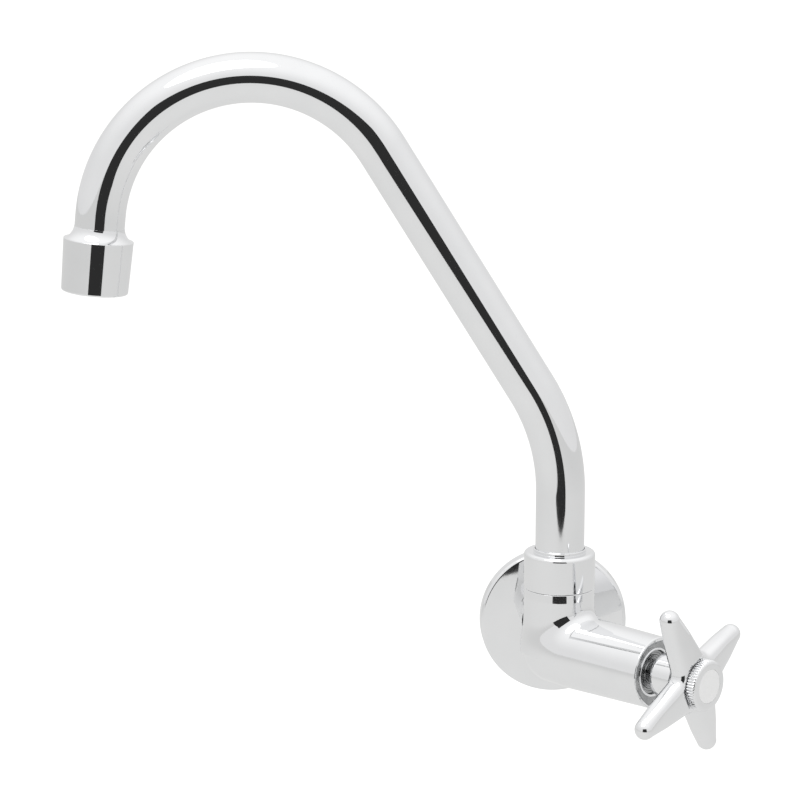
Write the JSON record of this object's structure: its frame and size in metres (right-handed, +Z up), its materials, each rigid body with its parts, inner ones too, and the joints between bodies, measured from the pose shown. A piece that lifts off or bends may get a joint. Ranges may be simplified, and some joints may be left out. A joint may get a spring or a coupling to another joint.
{
  "type": "wall mounted kitchen tap",
  "caption": "Chrome wall tap for cold water with a slanting cross handle and a tall swivelling swan-neck spout that ends in a jet regulator.",
  "frame": {"origin": "axis of the inlet shank on the wall face", "axes": "+Z up, -Y out of the wall into the room, +X to the right; the spout points to -X at rest"},
  "size_m": [0.2596, 0.1244, 0.2626],
  "materials": {
    "chromed_brass": "polished chrome plate on brass",
    "chromed_cap": "chrome plate on moulded plastic",
    "nickel_brass": "nickel plate on turned brass",
    "raw_brass": "turned brass",
    "rubber": "matt",
    "nylon": "natural nylon",
    "fibre": "pressed fibre",
    "acetal": "moulded acetal",
    "stainless_steel": "drawn stainless steel",
    "badge": "satin, bare"
  },
  "bodies": {
    "body": {"valve_body": "chromed_brass", "wall_flange": "chromed_brass", "flange_grip_ring": "rubber", "collar_nut": "chromed_brass", "spout_slide_rings": "nylon", "headwork_body": "nickel_brass", "headwork_gasket": "fibre", "gland_nut": "nickel_brass", "gland_packing": "nylon"},
    "spout": {"spout_tube": "chromed_brass", "spout_spigot": "raw_brass", "spigot_o_rings": "rubber", "outlet_ferrule": "chromed_brass", "aerator_housing": "nickel_brass", "aerator_insert": "acetal", "aerator_screen": "stainless_steel", "aerator_gasket": "rubber"},
    "handle": {"cross_handle": "chromed_brass", "handle_screw": "stainless_steel", "handle_cap": "chromed_cap", "cap_badge": "badge", "spindle": "nickel_brass", "spindle_o_rings": "rubber", "spindle_clip": "stainless_steel"},
    "piston": {"valve_piston": "raw_brass", "seat_washer": "rubber", "washer_screw": "stainless_steel"}
  },
  "joints": [
    {"name": "spout_swivel", "type": "hinge", "parent": "body", "child": "spout", "pos_m": [0, -0.04, 0], "axis": [0, 0, 1], "range_deg": [-5, 185]},
    {"name": "handle_turn", "type": "hinge", "parent": "body", "child": "handle", "pos_m": [0, -0.04, 0], "axis": [0.7314, -0.682, 0], "range_deg": [0, 540]},
    {"name": "piston_lift", "type": "slide", "parent": "body", "child": "piston", "axis": [0.7314, -0.682, 0], "range_m": [0, 0.003]}
  ],
  "couplings": [
    {"joint": "piston_lift", "follows": "handle_turn", "m_per_rad": 0.0003183}
  ]
}
